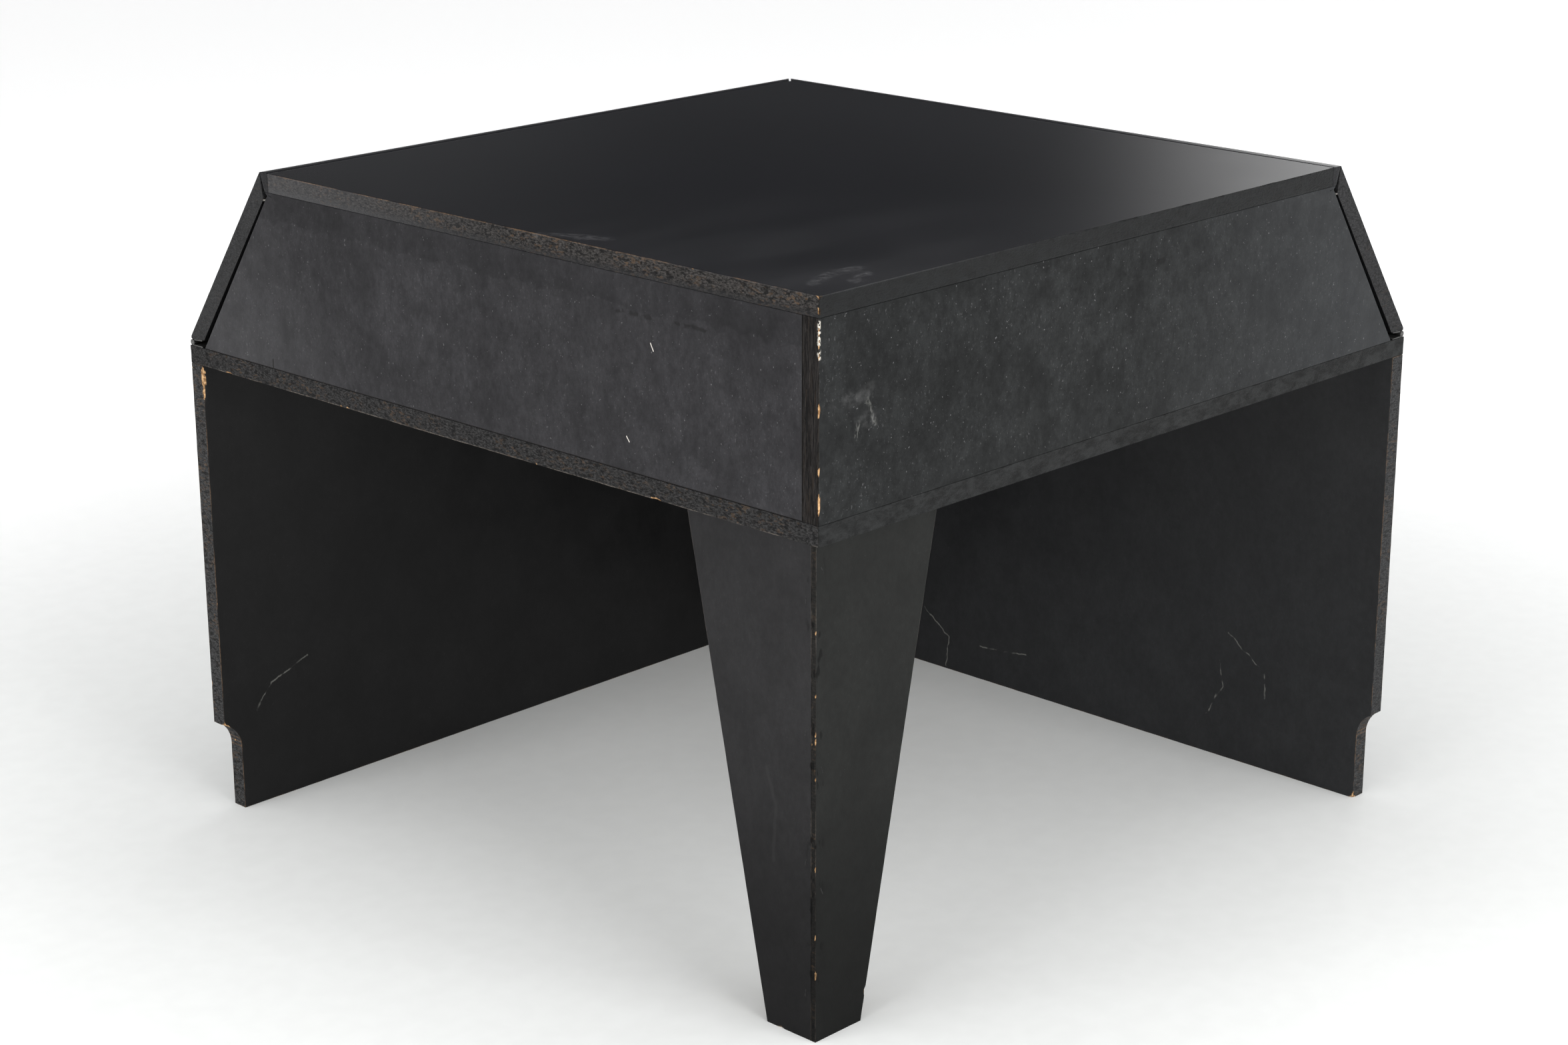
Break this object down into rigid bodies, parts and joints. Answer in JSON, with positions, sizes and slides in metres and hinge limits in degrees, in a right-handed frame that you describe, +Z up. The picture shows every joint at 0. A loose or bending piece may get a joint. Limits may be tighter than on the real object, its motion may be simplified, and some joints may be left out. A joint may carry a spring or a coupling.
{
  "type": "corner stage plinth",
  "caption": "Square black-painted chipboard corner plinth on a tapered leg, with two panels to the floor and sloping hinged drop flaps under a flat top.",
  "frame": {"origin": "on the floor, under the middle of the square footprint", "axes": "+Z up; the corner at -X -Y goes into a room's corner, the left flap and panel face +Y and the right ones face +X"},
  "size_m": [0.9, 0.9, 0.726],
  "materials": {
    "black_paint": "worn satin black paint on chipboard",
    "leg_black_paint": "worn satin black paint on thin plywood",
    "raw_softwood": "unpainted sawn softwood",
    "zinc_plate": "dull zinc plate with black overspray",
    "hinge_steel": "dull steel",
    "dark_staple": "painted over in black",
    "pale_pad": "matt, paint scraped off"
  },
  "bodies": {
    "frame": {"top_board": "black_paint", "base_board": "black_paint", "left_top_lipping": "black_paint", "left_fascia": "black_paint", "left_side_panel": "black_paint", "right_top_lipping": "black_paint", "right_fascia": "black_paint", "right_side_panel": "black_paint", "leg_left_skin": "leg_black_paint", "leg_right_skin": "leg_black_paint", "left_hinge_base_leaf": "zinc_plate", "left_hinge_pin": "hinge_steel", "left_hinge_base_screw_1": "hinge_steel", "left_hinge_base_screw_2": "hinge_steel", "left_hinge_base_screw_3": "hinge_steel", "left_hinge_base_screw_4": "hinge_steel", "left_stop_pad": "pale_pad", "right_hinge_base_leaf": "zinc_plate", "right_hinge_pin": "hinge_steel", "right_hinge_base_screw_1": "hinge_steel", "right_hinge_base_screw_2": "hinge_steel", "right_hinge_base_screw_3": "hinge_steel", "right_hinge_base_screw_4": "hinge_steel", "right_stop_pad": "pale_pad", "leg_left_staple_1": "dark_staple", "leg_left_staple_2": "dark_staple", "leg_left_staple_3": "dark_staple", "leg_left_staple_4": "dark_staple", "leg_right_staple_1": "dark_staple", "leg_right_staple_2": "dark_staple", "leg_right_staple_3": "dark_staple", "leg_post": "raw_softwood", "leg_left_cleat": "raw_softwood", "leg_right_cleat": "raw_softwood", "wall_corner_batten": "raw_softwood", "hip_post": "raw_softwood", "front_corner_batten": "raw_softwood", "left_top_batten": "raw_softwood", "right_top_batten": "raw_softwood", "left_panel_cleat": "raw_softwood", "right_panel_cleat": "raw_softwood"},
    "left_flap": {"left_flap": "black_paint", "left_hinge_flap_leaf": "zinc_plate", "left_hinge_flap_screw_1": "hinge_steel", "left_hinge_flap_screw_2": "hinge_steel", "left_hinge_flap_screw_3": "hinge_steel", "left_hinge_flap_screw_4": "hinge_steel"},
    "right_flap": {"right_flap": "black_paint", "right_hinge_flap_leaf": "zinc_plate", "right_hinge_flap_screw_1": "hinge_steel", "right_hinge_flap_screw_2": "hinge_steel", "right_hinge_flap_screw_3": "hinge_steel", "right_hinge_flap_screw_4": "hinge_steel"}
  },
  "joints": [
    {"name": "left_flap_hinge", "type": "hinge", "parent": "frame", "child": "left_flap", "pos_m": [0, 0.4467, 0.528], "axis": [-1, 0, 0], "range_deg": [0, 112]},
    {"name": "right_flap_hinge", "type": "hinge", "parent": "frame", "child": "right_flap", "pos_m": [0.4467, 0, 0.528], "axis": [0, 1, 0], "range_deg": [0, 112]}
  ]
}
